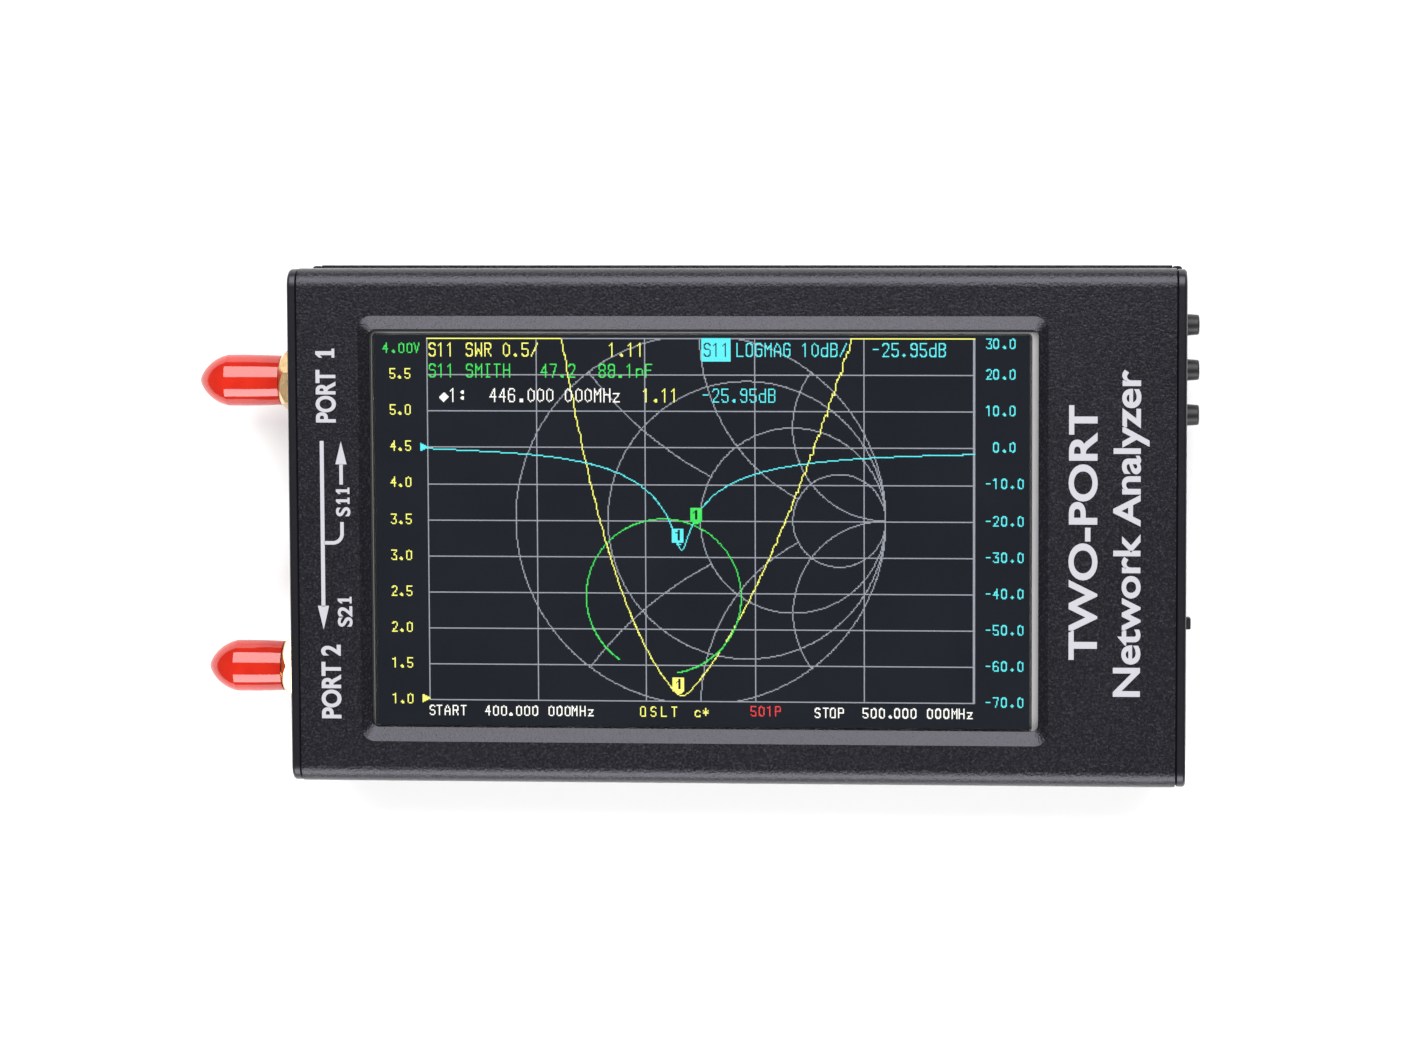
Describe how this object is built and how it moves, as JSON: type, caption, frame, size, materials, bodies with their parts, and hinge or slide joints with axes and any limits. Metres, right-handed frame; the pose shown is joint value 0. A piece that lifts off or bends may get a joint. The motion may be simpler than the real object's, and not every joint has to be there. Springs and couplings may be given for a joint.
{
  "type": "vector network analyzer",
  "caption": "Handheld two-port vector network analyzer with a touch screen, side keys, slide switch, USB inlet and capped test ports.",
  "frame": {"origin": "middle of the case's back face", "axes": "+X along the case from the test ports to the keys, +Y across the case, +Z out of the screen"},
  "size_m": [0.1474, 0.075, 0.022],
  "materials": {
    "case_coating": "fine bead-blasted black anodised aluminium, satin",
    "black_screw": "black oxide steel, satin",
    "screen_glass": "dark display glass, glossy",
    "light_guide_acrylic": "clear acrylic",
    "grey_frame": "light grey moulded plastic",
    "steel_tray": "plain rolled sheet",
    "black_gasket": "black foam, matte",
    "circuit_board": "green solder mask over glass epoxy",
    "shield_tin": "tin-plated sheet",
    "chip_epoxy": "moulded epoxy",
    "oscillator_metal": "nickel-plated lid",
    "socket_plastic": "black moulded nylon",
    "ribbon_film": "amber polyimide film",
    "gold_plate": "gold-plated brass, bright",
    "white_dielectric": "white fluoropolymer",
    "red_vinyl": "soft red vinyl, glossy",
    "key_plastic": "black moulded plastic, satin",
    "plated_shell": "nickel-plated steel",
    "light_body": "milky white resin",
    "adhesive_tape": "white foam tape",
    "battery_foil": "aluminium laminate pouch",
    "black_wire": "silicone insulation",
    "white_plug": "natural nylon"
  },
  "bodies": {
    "case": {"back_shell": "case_coating", "battery_cell": "battery_foil", "battery_guard_board": "circuit_board", "battery_lead_negative": "black_wire", "battery_lead_positive": "red_vinyl", "battery_plug": "white_plug", "battery_socket": "white_plug", "battery_tape": "adhesive_tape", "charge_chip": "chip_epoxy", "charge_light": "light_body", "display_pads": "black_gasket", "display_ribbon": "ribbon_film", "front_shell": "case_coating", "key_domes": "gold_plate", "key_switch_covers": "shield_tin", "key_switches": "socket_plastic", "lcd_frame": "grey_frame", "lcd_panel": "screen_glass", "lcd_tray": "steel_tray", "left_end_plate": "case_coating", "left_plate_screws": "black_screw", "light_guide": "light_guide_acrylic", "light_pipe": "light_guide_acrylic", "main_board": "circuit_board", "memory_chip": "chip_epoxy", "mixer_chips": "chip_epoxy", "port_1_body": "gold_plate", "port_1_contact": "gold_plate", "port_1_dielectric": "white_dielectric", "port_1_nut": "gold_plate", "port_1_washer": "gold_plate", "port_2_body": "gold_plate", "port_2_contact": "gold_plate", "port_2_dielectric": "white_dielectric", "port_2_nut": "gold_plate", "port_2_washer": "gold_plate", "power_inductors": "chip_epoxy", "processor_chip": "chip_epoxy", "reference_oscillator": "oscillator_metal", "rf_shield_can_1": "shield_tin", "rf_shield_can_2": "shield_tin", "ribbon_socket": "socket_plastic", "right_end_plate": "case_coating", "right_plate_screws": "black_screw", "screen_gasket": "black_gasket", "slide_switch": "socket_plastic", "slide_switch_cover": "shield_tin", "synthesizer_chips": "chip_epoxy", "touch_glass": "screen_glass", "usb_insert": "socket_plastic", "usb_shell": "plated_shell"},
    "key_1": {"key_button_1": "key_plastic"},
    "key_2": {"key_button_2": "key_plastic"},
    "key_3": {"key_button_3": "key_plastic"},
    "power_slider": {"power_slider": "key_plastic"},
    "cap_1": {"port_1_cap": "red_vinyl"},
    "cap_2": {"port_2_cap": "red_vinyl"}
  },
  "joints": [
    {"name": "key_1_press", "type": "slide", "parent": "case", "child": "key_1", "axis": [-1, 0, 0], "range_m": [0, 0.00025], "stiffness_N_per_m": 6000},
    {"name": "key_2_press", "type": "slide", "parent": "case", "child": "key_2", "axis": [-1, 0, 0], "range_m": [0, 0.00025], "stiffness_N_per_m": 6000},
    {"name": "key_3_press", "type": "slide", "parent": "case", "child": "key_3", "axis": [-1, 0, 0], "range_m": [0, 0.00025], "stiffness_N_per_m": 6000},
    {"name": "power_slide", "type": "slide", "parent": "case", "child": "power_slider", "axis": [0, -1, 0], "range_m": [0, 0.002]},
    {"name": "cap_1_pull", "type": "slide", "parent": "case", "child": "cap_1", "axis": [-1, 0, 0], "range_m": [0, 0.015]},
    {"name": "cap_2_pull", "type": "slide", "parent": "case", "child": "cap_2", "axis": [-1, 0, 0], "range_m": [0, 0.015]}
  ]
}
